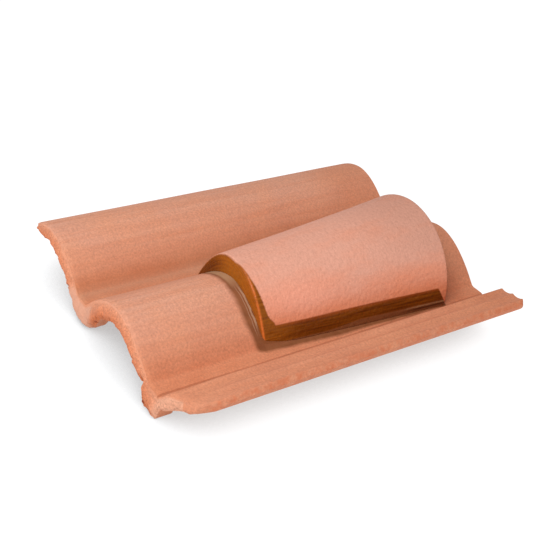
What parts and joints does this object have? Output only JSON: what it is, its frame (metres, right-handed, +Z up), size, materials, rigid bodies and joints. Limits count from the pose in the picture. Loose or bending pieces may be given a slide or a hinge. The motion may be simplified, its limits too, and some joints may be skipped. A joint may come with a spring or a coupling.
{
  "type": "roof vent tile",
  "caption": "Interlocking roll-profile concrete roof tile with a half-cone vent hood over an air slot in its roll, lock ribs along the side and hanging nibs under the head.",
  "frame": {"origin": "middle of the tile's outline on plan, on the floor that the nibs and nose bars stand on", "axes": "+X across the tile towards the ribbed underlock, +Y along the rolls from head to nose, +Z up"},
  "size_m": [0.33, 0.414, 0.1097],
  "materials": {
    "tile_concrete": "orange terracotta-coloured concrete, extruded, matte with a fine sandy grain",
    "hood_terracotta": "paler pink terracotta, smooth matte, with a glossy brown sealer brushed round its edge"
  },
  "bodies": {
    "root": {"roll_tile": "tile_concrete", "vent_hood": "hood_terracotta"}
  },
  "joints": []
}
